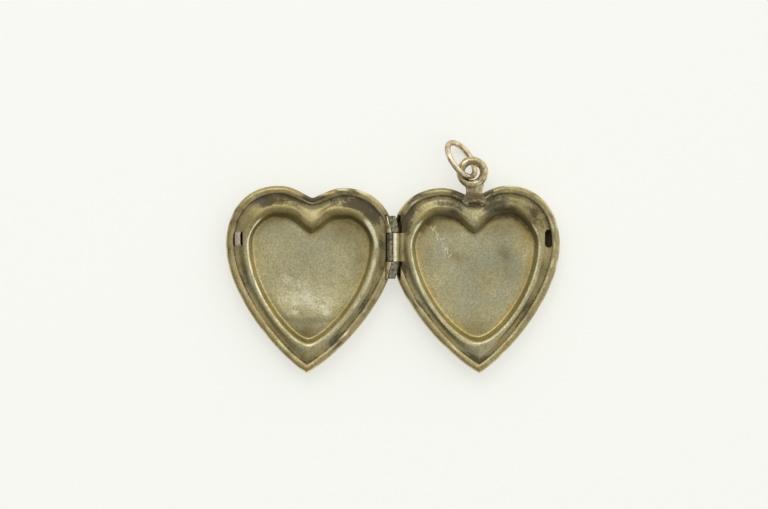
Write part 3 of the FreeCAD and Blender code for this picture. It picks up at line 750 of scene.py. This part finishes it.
def curl(name, side, y0, y1, end_at):
    """The liner's strip that rises from the flange and curls over a knuckle. end_at(y) gives the place
    of its edge."""
    rows = np.linspace(y0, y1, 22)
    vertices = []
    for y in rows:
        section = curl_section(end_at(y))
        vertices += [(x * SIDE_SIGN[side], y, z) for x, z in section]
    count = len(section)
    vertices = np.array(vertices)
    vertices[:, 2] += 0.010 * waves(vertices, 1.3, 81) * (vertices[:, 2] > -0.3)
    obj = make_object(name, vertices, loop_faces(count, len(rows)))
    place = np.tile(np.arange(count), len(rows))
    edge = np.abs(vertices[:, 0]) - np.repeat([end_at(y) for y in rows], count)
    bead = (1 - smooth(edge, 0.30, 0.48)) * (place < CURL_HIDDEN - 1)
    flat = 1 - smooth(place, 2.0, 9.0)
    hidden = place >= CURL_HIDDEN
    # Painted highlight along the bead at the curl's edge, and painted shade on the side that faces the
    # knuckle; the flat strip is tarnished like the flange.
    paint(obj, wear=0.85 * bead + 0.35 * waves(vertices, 0.9, 84) * bead,
          tarnish=0.16 + 0.26 * flat + 0.10 * waves(vertices, 1.2, 82) + 0.6 * hidden,
          film=0.34 + 0.46 * flat + 0.12 * waves(vertices, 1.6, 83), cool=0.3)
    return obj


def tube(name, y0, y1, seam_angle, filed=None):
    """A knuckle: a rolled tube with a pitted skin, a seam and softened ends. filed cuts its free side."""
    around = 72
    rows = np.concatenate([[y0], y0 + np.array([0.02, 0.05]), np.linspace(y0 + 0.15, y1 - 0.15, 34),
                           y1 - np.array([0.05, 0.02]), [y1]])
    angle = np.arange(around) * 2 * math.pi / around
    vertices = []
    for y in rows:
        to_end = min(y - y0, y1 - y)
        radius = KNUCKLE_R - 0.05 * (1 - min(to_end, 0.05) / 0.05) ** 2
        seam = 0.045 * near((angle - seam_angle + math.pi) % (2 * math.pi) - math.pi, 0, 0.09)
        vertices += [((radius - s) * math.cos(a), y, (radius - s) * math.sin(a)) for a, s in zip(angle, seam)]
    vertices = np.array(vertices)
    outer_count = len(vertices)
    pits = 0.030 * np.maximum(waves(vertices, 0.45, 91) - 0.1, 0) + 0.010 * waves(vertices, 1.4, 92)
    shrink = 1 - pits / KNUCKLE_R
    vertices[:, 0] *= shrink
    vertices[:, 2] *= shrink
    bore = [(BORE_R * math.cos(a), y, BORE_R * math.sin(a)) for y in (y0, y1) for a in angle]
    vertices = np.vstack([vertices, bore])
    a = np.arange(around)
    b = np.roll(a, -1)
    faces = loop_faces(around, len(rows), capped=False)
    near_bore, far_bore = outer_count, outer_count + around
    faces += list(zip(near_bore + a, near_bore + b, b, a))
    last = (len(rows) - 1) * around
    faces += list(zip(last + a, last + b, far_bore + b, far_bore + a))
    faces += list(zip(near_bore + b, near_bore + a, far_bore + a, far_bore + b))
    obj = make_object(name, vertices, faces)
    if filed:
        cut(obj, filed)
    points = positions(obj)
    # Painted highlight: a bright line along the top at x -0.30. Painted shadow: a dark line at the curl's
    # edge, on the middle knuckle only.
    line = near(points[:, 0], -0.30, 0.07) * (points[:, 2] > 0)
    seam_shadow = near(points[:, 0], -0.04, 0.07) * (points[:, 2] > 0) * (y0 < 0 < y1)
    ends = near(np.abs(points[:, 1]), abs(y0), 0.06)
    paint(obj, tarnish=0.42 + 0.20 * waves(points, 1.1, 93) + 0.30 * waves(points, 0.45, 95) + 0.6 * seam_shadow,
          wear=0.75 * line * (0.8 + 0.5 * waves(points, 0.5, 94)) + 0.4 * ends, film=0.35, cool=0.9)
    return obj


def filed_cutter(flip):
    """What is filed off an outer knuckle's free side; flip is for the lower knuckle."""
    (x0, y0), (x1, y1) = FILED_INNER, FILED_OUTER
    slope = (x1 - x0) / (y1 - y0)
    plan = [(x0 - 2 * slope, y0 - 2), (x1 + 2 * slope, y1 + 2), (6, y1 + 2), (6, y0 - 2)]
    return plan_cutter([(x, -y) if flip else (x, y) for x, y in plan], -3, 3)


def front_curl_edge(y):
    """How far from the hinge axis the front curls' trimmed edge lies at y."""
    slope = (TRIM_OUTER[0] - TRIM_INNER[0]) / (TRIM_OUTER[1] - TRIM_INNER[1])
    return TRIM_INNER[0] + slope * (abs(y) - TRIM_INNER[1])


# ---- Bail and jump ring ----

def circle(radius, count):
    angle = np.arange(count) * 2 * math.pi / count
    return np.stack([radius * np.cos(angle), radius * np.sin(angle)], 1)


def swept_ring(centre, normal, radius, section, steps):
    """A ring swept round a normal; section(angle) gives (outwards, along normal) pairs."""
    normal = Vector(normal).normalized()
    out = normal.orthogonal().normalized()
    side = normal.cross(out)
    vertices = []
    for step in range(steps):
        angle = 2 * math.pi * step / steps
        direction = out * math.cos(angle) + side * math.sin(angle)
        for away, up in section(angle):
            vertices.append(Vector(centre) + direction * (radius + away) + normal * up)
    count = len(section(0.0))
    vertices = np.array([tuple(v) for v in vertices])
    a = np.arange(count)
    b = np.roll(a, -1)
    faces = []
    for step in range(steps):
        base, after = step * count, (step + 1) % steps * count
        faces += list(zip(base + a, base + b, after + b, after + a))
    return vertices, faces


def jump_ring():
    low, high = ((corner - HINGE_AT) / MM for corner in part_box("jump_ring"))
    centre = (low + high) / 2
    lean = math.sin(RING_TILT)
    normal = Vector((-math.sin(RING_HEADING) * lean, math.cos(RING_HEADING) * lean, math.cos(RING_TILT)))

    def section(angle):
        """Round wire, a little flattened by the pliers at its soldered joint."""
        joint = math.exp(-(((angle - RING_JOINT + math.pi) % (2 * math.pi) - math.pi) / 0.05) ** 2)
        uneven = 1 + 0.012 * math.sin(5 * angle) + 0.010 * math.sin(13 * angle + 1)
        return circle(RING_WIRE_R * (1 - 0.14 * joint) * uneven, 28)

    vertices, faces = swept_ring(centre, normal, RING_R, section, 220)
    obj = make_object("jump_ring_wire", vertices, faces)
    points = positions(obj)
    # Painted shade on the wire's flanks and painted highlight along its top, from each point's normal.
    upward = np.array([vertex.normal.z for vertex in obj.data.vertices])
    flank = 1 - smooth(upward, 0.10, 0.75)
    paint(obj, tarnish=0.10 + 0.42 * flank + 0.12 * waves(points, 1.6, 101),
          wear=(0.65 + 0.25 * waves(points, 1.0, 102)) * (1 - flank),
          film=0.10 + 0.5 * flank + 0.4 * smooth(points[:, 0] - 0.5 * points[:, 1], 2.6, 4.6), cool=0.0)
    return obj


# The foot and stem, from the foot to where they run into the eyelet: y, half width, bottom, top.
STEM_SECTIONS = (
    (5.30, 0.90, -0.345, -0.20), (5.45, 1.25, -0.35, -0.13), (5.80, 1.60, -0.35, -0.10),
    (6.30, 1.62, -0.35, -0.10), (6.65, 1.40, -0.35, -0.06), (6.95, 1.16, -0.34, 0.02),
    (7.30, 1.08, -0.32, 0.09), (7.70, 1.12, -0.36, 0.12), (8.20, 1.30, -0.40, 0.16),
    (8.42, 1.20, -0.40, 0.18),
)
MELT_VOXEL = 0.055
DIMPLE = (10.75, 5.62, 0.75, 0.26)      # hollow in the foot: x, y, width, height


def bail_stem():
    """Vertices and faces of the foot and stem."""
    vertices = []
    round_section = circle(1.0, 24)
    for y, half, z0, z1 in STEM_SECTIONS:
        for across, up in round_section:
            x = abs(across) ** 0.6 * math.copysign(half, across)
            z = abs(up) ** 0.6 * math.copysign((z1 - z0) / 2, up)
            vertices.append((STEM_X + x, y, (z0 + z1) / 2 + z))
    return np.array(vertices), loop_faces(len(round_section), len(STEM_SECTIONS))


def bail():
    """The eyelet, stem and foot, melted together into one casting, with a rough soldered seat."""
    wire = circle(EYELET_WIRE_R, 24)
    eye, eye_faces = swept_ring(EYELET, (0, 0, 1), EYELET_RING_R, lambda angle: wire, 96)
    stem, stem_faces = bail_stem()
    faces = list(eye_faces) + [tuple(index + len(eye) for index in face) for face in stem_faces]
    obj = make_object("bail_casting", np.vstack([eye, stem]), faces)
    remesh = obj.modifiers.new("melt", "REMESH")
    remesh.mode = "VOXEL"
    remesh.voxel_size = MELT_VOXEL * MM
    soften = obj.modifiers.new("soften", "SMOOTH")
    soften.iterations = 6
    apply_modifiers(obj)
    points = positions(obj)
    seat = 1 - smooth(points[:, 1], 6.6, 7.5)
    top = points[:, 2] > -0.3
    pits = 0.018 * waves(points, 0.5, 111) + 0.012 * waves(points, 0.28, 112)
    points[:, 2] += np.where(top, seat * pits, 0)
    x, y, width, height = DIMPLE
    dimple = np.exp(-(((points[:, 0] - x) / width) ** 4 + ((points[:, 1] - y) / height) ** 4))
    points[:, 2] -= np.where(top, 0.13 * dimple, 0)
    set_positions(obj, points)
    # Painted shade: a dark ring along the eyelet's inner flank.
    inner_shade = near(np.hypot(points[:, 0] - EYELET.x, points[:, 1] - EYELET.y), EYELET_RING_R - 0.22, 0.12)
    grime_and_shade = 0.15 + seat * 0.22 + 0.95 * dimple * top + 0.14 * waves(points, 1.2, 113) + 0.35 * inner_shade
    paint(obj, tarnish=grime_and_shade, wear=0.55 * (1 - seat) - 0.4 * inner_shade + 0.25 * waves(points, 0.9, 114),
          film=0.2 + 0.5 * seat, cool=seat)
    return obj


# ---- Materials ----

class Nodes:
    """A short way to write a node tree: n.add(type, inputs, **settings)."""

    def __init__(self, tree):
        self.tree = tree
        tree.nodes.clear()

    def add(self, kind, inputs=None, **settings):
        node = self.tree.nodes.new(kind)
        for key, value in settings.items():
            setattr(node, key, value)
        for key, value in (inputs or {}).items():
            self.feed(node.inputs[key], value)
        return node

    def feed(self, socket, value):
        if isinstance(value, bpy.types.NodeSocket):
            self.tree.links.new(value, socket)
        elif isinstance(value, bpy.types.Node):
            self.tree.links.new(value.outputs[0], socket)
        else:
            socket.default_value = value

    def math(self, operation, a, b=0.0, clamp=False):
        return self.add("ShaderNodeMath", {0: a, 1: b}, operation=operation, use_clamp=clamp).outputs[0]

    def mask(self, name):
        return self.add("ShaderNodeAttribute", attribute_name=name).outputs["Fac"]

    def noise(self, scale, detail=4.0, rough=0.6, vector=None):
        node = self.add("ShaderNodeTexNoise", {"Scale": scale, "Detail": detail, "Roughness": rough})
        self.feed(node.inputs["Vector"], vector)
        return node.outputs["Fac"]

    def between(self, value, low, high):
        """0 below low, 1 above high, and smooth between."""
        return self.add("ShaderNodeMapRange", {"Value": value, "From Min": low, "From Max": high},
                        interpolation_type="SMOOTHSTEP").outputs["Result"]

    def mix(self, share, first, second, way="MIX"):
        node = self.add("ShaderNodeMix", {0: share, 6: first, 7: second}, data_type="RGBA", blend_type=way)
        return node.outputs[2]

    def ramp(self, value, low_colour, high_colour, low, high):
        return self.mix(self.between(value, low, high), rgb(*low_colour), rgb(*high_colour))

    def mix_value(self, share, first, second):
        return self.add("ShaderNodeMix", {0: share, 2: first, 3: second}, data_type="FLOAT").outputs["Result"]


def rgb(r, g, b):
    return (r, g, b, 1.0)


DARK_STAIN_AND_SHADE = rgb(0.066, 0.048, 0.024)
COLD_STAIN_AND_SHADE = rgb(0.095, 0.094, 0.082)
OCHRE_TINT = rgb(1.06, 0.90, 0.58)
FILM_AND_SHADE_TINT = rgb(0.52, 0.46, 0.34)
GREY_TINT = (0.94, 0.96, 0.72)
SPECK_TINTS = (0.70, 0.69, 0.66), (1.18, 1.18, 1.16)
SPECK_SHARE = 0.68              # how much of the edge of the tarnish and painted shade is fine specks, the rest is blotches
TARNISH_AND_SHADE_REACH = 0.40            # how far a full mask of tarnish and painted shade lifts the noise
TARNISH_AND_SHADE_EDGE = (0.635, 0.80)    # noise level where tarnish and painted shade start, and where they are full


def aged_metal(slot, clean, warm, bright, rough=0.36, grain=0.0, bump=0.6, marks=False):
    """Gilt metal with speckled tarnish and painted shade, a thin film of age that also carries painted shade,
    rubbed high spots and painted highlights, and fine scratches.
    """
    material = bpy.data.materials.new(slot)
    material["slot"] = slot
    material.use_nodes = True
    n = Nodes(material.node_tree)
    place = n.add("ShaderNodeTexCoord").outputs["Object"]
    mm = n.add("ShaderNodeVectorMath", {0: place, "Scale": 1 / MM}, operation="SCALE").outputs[0]
    broad = n.noise(0.22, 3, 0.55, mm)
    blotch = n.noise(0.9, 6, 0.68, mm)
    speck = n.noise(4.5, 5, 0.78, mm)
    fine = n.noise(13.0, 3, 0.7, mm)
    tarnish = n.mask("tarnish")
    wear = n.mask("wear")
    film = n.mask("film")
    cool = n.mask("cool")
    ochre = n.mask("ochre")

    # Speckles of tarnish and painted shade: the higher that mask, the more of the noise lies over the
    # threshold.
    mixed = n.math("ADD", n.math("MULTIPLY", blotch, 1 - SPECK_SHARE), n.math("MULTIPLY", speck, SPECK_SHARE))
    over = n.math("ADD", mixed, n.math("MULTIPLY", tarnish, TARNISH_AND_SHADE_REACH))
    amount = n.between(over, *TARNISH_AND_SHADE_EDGE)
    rub_and_sheen = n.math("ADD", wear, n.math("MULTIPLY", n.math("SUBTRACT", mixed, 0.5), 1.6))
    rubbed_and_sheen = n.between(rub_and_sheen, 0.25, 0.95)

    base = n.mix(n.between(broad, 0.36, 0.64), rgb(*clean), rgb(*warm))
    grey = 0.36 * clean[0] + 0.46 * clean[1] + 0.18 * clean[2]
    cooled = n.math("MULTIPLY", cool, n.between(n.noise(0.25, 3, 0.5, mm), 0.20, 0.75))
    base = n.mix(cooled, base, rgb(*(tint * grey for tint in GREY_TINT)))
    base = n.mix(ochre, base, n.mix(1.0, base, OCHRE_TINT, "MULTIPLY"))
    darkened = n.mix(1.0, base, FILM_AND_SHADE_TINT, "MULTIPLY")
    filmed = n.math("MULTIPLY", film, n.math("ADD", 0.55, n.math("MULTIPLY", broad, 0.9)), clamp=True)
    base = n.mix(filmed, base, darkened)
    base = n.mix(1.0, base, n.ramp(speck, *SPECK_TINTS, 0.32, 0.68), "MULTIPLY")
    stain_and_shade = n.mix(n.between(n.noise(0.55, 4, 0.6, mm), 0.50, 0.66), DARK_STAIN_AND_SHADE, COLD_STAIN_AND_SHADE)
    colour = n.mix(n.math("MULTIPLY", amount, 0.84), base, stain_and_shade)
    colour = n.mix(n.math("MULTIPLY", rubbed_and_sheen, 0.85), colour, rgb(*bright))

    metal = n.mix_value(amount, 1.0, 0.70)
    gloss = n.mix_value(amount, rough, 0.60)
    gloss = n.mix_value(rubbed_and_sheen, gloss, rough * 0.75)
    gloss = n.math("ADD", gloss, n.math("MULTIPLY", n.math("SUBTRACT", speck, 0.5), 0.25), clamp=True)

    stretch = n.add("ShaderNodeVectorMath", {0: mm, 1: (9.0, 0.7, 9.0)}, operation="MULTIPLY").outputs[0]
    lines = n.noise(1.6, 2, 0.5, stretch)
    height = n.math("ADD", n.math("MULTIPLY", fine, 0.45), n.math("MULTIPLY", speck, 0.8))
    height = n.math("ADD", height, n.math("MULTIPLY", lines, grain))
    height = n.math("SUBTRACT", height, n.math("MULTIPLY", amount, 0.5))
    if marks:
        scored = scores(n, mm)
        colour = n.mix(n.math("MULTIPLY", scored, 0.5), colour, rgb(*bright))
        height = n.math("SUBTRACT", height, n.math("MULTIPLY", scored, 1.2))
    relief = n.add("ShaderNodeBump", {"Strength": bump, "Distance": 0.02 * MM, "Height": height})
    surface = n.add("ShaderNodeBsdfPrincipled", {"Base Color": colour, "Metallic": metal, "Roughness": gloss,
                                                 "Normal": relief.outputs["Normal"]})
    n.add("ShaderNodeOutputMaterial", {"Surface": surface})
    return material


SCORES = 13
SCORES_FROM = np.array([5.2, 2.9])
SCORES_WAY = np.array([2.3, -4.0])      # from the first scratch to the last


def scores(n, mm):
    """A few short strokes scratched into the back recess, as a 0 to 1 mask."""
    draw = np.random.default_rng(17)
    total = 0.0
    split = n.add("ShaderNodeSeparateXYZ", {0: mm})
    for step in range(SCORES):
        share = step / (SCORES - 1)
        centre = SCORES_FROM + SCORES_WAY * share + draw.uniform(-0.40, 0.40, 2)
        angle = draw.uniform(-1.6, -0.2) if step % 3 else draw.uniform(0.3, 1.1)
        half = draw.uniform(0.22, 0.60)
        x = n.math("SUBTRACT", split.outputs["X"], centre[0])
        y = n.math("SUBTRACT", split.outputs["Y"], centre[1])
        along = n.math("ABSOLUTE", n.math("ADD", n.math("MULTIPLY", x, math.cos(angle)),
                                          n.math("MULTIPLY", y, math.sin(angle))))
        across = n.math("ABSOLUTE", n.math("SUBTRACT", n.math("MULTIPLY", y, math.cos(angle)),
                                           n.math("MULTIPLY", x, math.sin(angle))))
        line = n.math("MULTIPLY", n.between(across, 0.085, 0.015), n.between(along, half, half - 0.12))
        total = n.math("MAXIMUM", total, line)
    return n.math("MULTIPLY", total, n.between(split.outputs["Z"], -0.9, -1.1))


SHELL = aged_metal("gilt_shell", (0.54, 0.475, 0.25), (0.53, 0.42, 0.20), (0.92, 0.82, 0.50), rough=0.34)
LINER = aged_metal("gilt_liner", (0.64, 0.58, 0.34), (0.57, 0.51, 0.27), (1.00, 0.95, 0.68),
                   grain=0.5, marks=True)
HINGE = aged_metal("hinge_tube", (0.46, 0.41, 0.29), (0.42, 0.33, 0.23), (0.80, 0.72, 0.56), rough=0.38)
CAST = aged_metal("cast_bail", (0.50, 0.43, 0.24), (0.48, 0.37, 0.21), (0.86, 0.76, 0.52), rough=0.28)
RING = aged_metal("ring_wire", (0.64, 0.54, 0.33), (0.66, 0.47, 0.30), (0.95, 0.83, 0.58),
                  rough=0.22, bump=0.3)
SPRING = aged_metal("spring_strip", (0.70, 0.64, 0.54), (0.66, 0.56, 0.44), (0.95, 0.90, 0.80), rough=0.30)
PIN = aged_metal("pin_wire", (0.40, 0.34, 0.24), (0.36, 0.28, 0.18), (0.60, 0.52, 0.38), rough=0.40)


# ---- The locket ----

def dress(obj, material, body, node=None):
    """Gives a piece its material and its body, and hides the CAD node that it stands in for, if any."""
    shade(obj)
    obj.data.materials.clear()
    obj.data.materials.append(material)
    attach(obj, body)
    if node:
        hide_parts(node)


def build_locket():
    for side in ("back", "front"):
        dress(cover(side), SHELL, side, side + "_cover_shell")
        dress(hinge_gutter(side), SHELL, side)
        dress(liner(side), LINER, side, side + "_liner_plate")

    up = math.pi / 2
    dress(curl("back_curl", "back", -MIDDLE_HALF, MIDDLE_HALF, lambda y: CURL_MID_X), LINER, "back")
    dress(tube("back_knuckle", -MIDDLE_HALF, MIDDLE_HALF, up + 0.12), HINGE, "back", "back_hinge_knuckle")
    for name, y0, y1 in (("upper", OUTER_START, OUTER_END), ("lower", -OUTER_END, -OUTER_START)):
        dress(curl("front_curl_" + name, "front", y0, y1, front_curl_edge), LINER, "front")
        knuckle = tube("front_knuckle_" + name, y0, y1, up - 0.5, filed_cutter(name == "lower"))
        dress(knuckle, HINGE, "front", "front_hinge_knuckle_" + name)
    dress(bail(), CAST, "back", "bail_eyelet")
    dress(jump_ring(), RING, "jump_ring", "jump_ring")
    for node, material in (("hinge_pin", PIN), ("snap_tongue", SPRING)):
        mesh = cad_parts[node].data
        mesh.materials.clear()
        mesh.materials.append(material)


# ---- Floor, light and camera ----

FLOOR_HALF = 0.6                # metres, as is all below
SHEET_COLOUR = rgb(0.50, 0.505, 0.48)
SHEET_GLOW = rgb(1.0, 1.01, 0.95)
SHEET_GLOW_STRENGTH = 0.535     # keeps the sheet near white under a light that suits the metal
TENT_COLOUR = rgb(1.0, 0.995, 0.97)
TENT_LEVEL = 0.22
TENT_GLOWS = (("Z", 0.15, 0.95, 0.26), ("Y", -0.12, 0.60, 0.56), ("X", -0.05, 0.80, 0.44))
BOX_PLACE = (-0.06, 0.26, 0.34)
BOX_SIZE = 0.20
BOX_POWER = 0.22
LENS = 85.0                     # millimetres, with the sensor
SENSOR = 36.0
WIDTHS_IN_VIEW = 2.297          # of the whole locket
AIM = (-0.0268, -0.0216)        # from the hinge's middle to the view's, in widths of the locket


def pale_floor():
    low = min(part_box(node)[0].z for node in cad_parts)
    half = FLOOR_HALF
    mesh = bpy.data.meshes.new("floor")
    corners = [(-half, -half, low), (half, -half, low), (half, half, low), (-half, half, low)]
    mesh.from_pydata(corners, [], [(0, 1, 2, 3)])
    floor = bpy.data.objects.new("floor", mesh)
    bpy.context.scene.collection.objects.link(floor)
    material = bpy.data.materials.new("pale_sheet")
    material.use_nodes = True
    n = Nodes(material.node_tree)
    surface = n.add("ShaderNodeBsdfPrincipled", {
        "Base Color": SHEET_COLOUR, "Roughness": 0.9, "Specular IOR Level": 0.1,
        "Emission Color": SHEET_GLOW, "Emission Strength": SHEET_GLOW_STRENGTH})
    n.add("ShaderNodeOutputMaterial", {"Surface": surface})
    mesh.materials.append(material)


def light_tent():
    """A pale surround, brighter overhead, behind the lobes and to the right."""
    world = bpy.data.worlds.new("tent")
    bpy.context.scene.world = world
    world.use_nodes = True
    n = Nodes(world.node_tree)
    direction = n.add("ShaderNodeTexCoord").outputs["Generated"]
    split = n.add("ShaderNodeSeparateXYZ", {0: direction})
    level = TENT_LEVEL
    for axis, start, full, strength in TENT_GLOWS:
        glow = n.math("MULTIPLY", n.between(split.outputs[axis], start, full), strength)
        level = n.math("ADD", glow, level)
    background = n.add("ShaderNodeBackground", {"Color": TENT_COLOUR, "Strength": level})
    n.add("ShaderNodeOutputWorld", {"Surface": background})


def soft_box():
    light = bpy.data.lights.new("north_box", "AREA")
    light.shape = "SQUARE"
    light.size = BOX_SIZE
    light.energy = BOX_POWER
    obj = bpy.data.objects.new("north_box", light)
    obj.location = BOX_PLACE
    obj.rotation_euler = (-Vector(BOX_PLACE)).to_track_quat("-Z", "Y").to_euler()
    bpy.context.scene.collection.objects.link(obj)


def camera():
    """Straight down on the open locket."""
    width = CAD_BOX[1][0] - CAD_BOX[0][0]
    distance = WIDTHS_IN_VIEW * width * LENS / SENSOR
    data = bpy.data.cameras.new("camera")
    data.lens = LENS
    data.sensor_width = SENSOR
    data.clip_start = 0.005
    obj = bpy.data.objects.new("camera", data)
    obj.location = HINGE_AT + Vector((AIM[0] * width, AIM[1] * width, distance))
    bpy.context.scene.collection.objects.link(obj)
    bpy.context.scene.camera = obj


build_locket()
pale_floor()
light_tent()
soft_box()
camera()
bpy.context.scene.view_settings.view_transform = "Standard"
